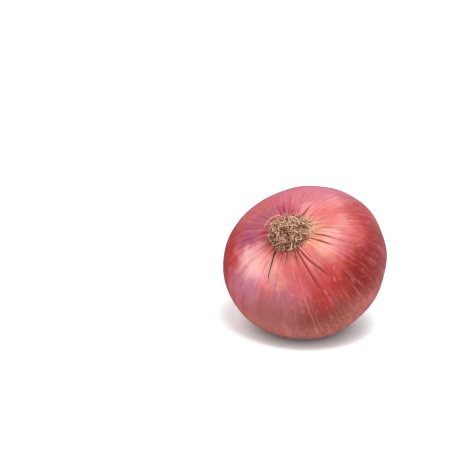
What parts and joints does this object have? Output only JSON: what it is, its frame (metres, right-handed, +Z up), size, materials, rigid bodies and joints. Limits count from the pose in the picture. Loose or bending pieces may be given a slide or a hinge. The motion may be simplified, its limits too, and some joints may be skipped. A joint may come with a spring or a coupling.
{
  "type": "red onion",
  "caption": "Whole red onion lying on its side, with a tight papery skin, a tuft of dry curled roots and a short dry neck.",
  "frame": {"origin": "middle of the small flat spot on the shoulder that the onion rests on", "axes": "+Z up from the table; the onion's own axis lies in the YZ plane, with the root end up and towards -Y and the neck down and towards +Y"},
  "size_m": [0.0747, 0.0665, 0.0621],
  "materials": {
    "skin": "satin, dry papery onion skin",
    "dry_root": "matte, dry fibrous roots",
    "dry_sheath": "matte, dry papery leaf ends"
  },
  "bodies": {
    "root": {"bulb": "skin", "root_tuft": "dry_root", "neck_sheaths": "dry_sheath"}
  },
  "joints": []
}
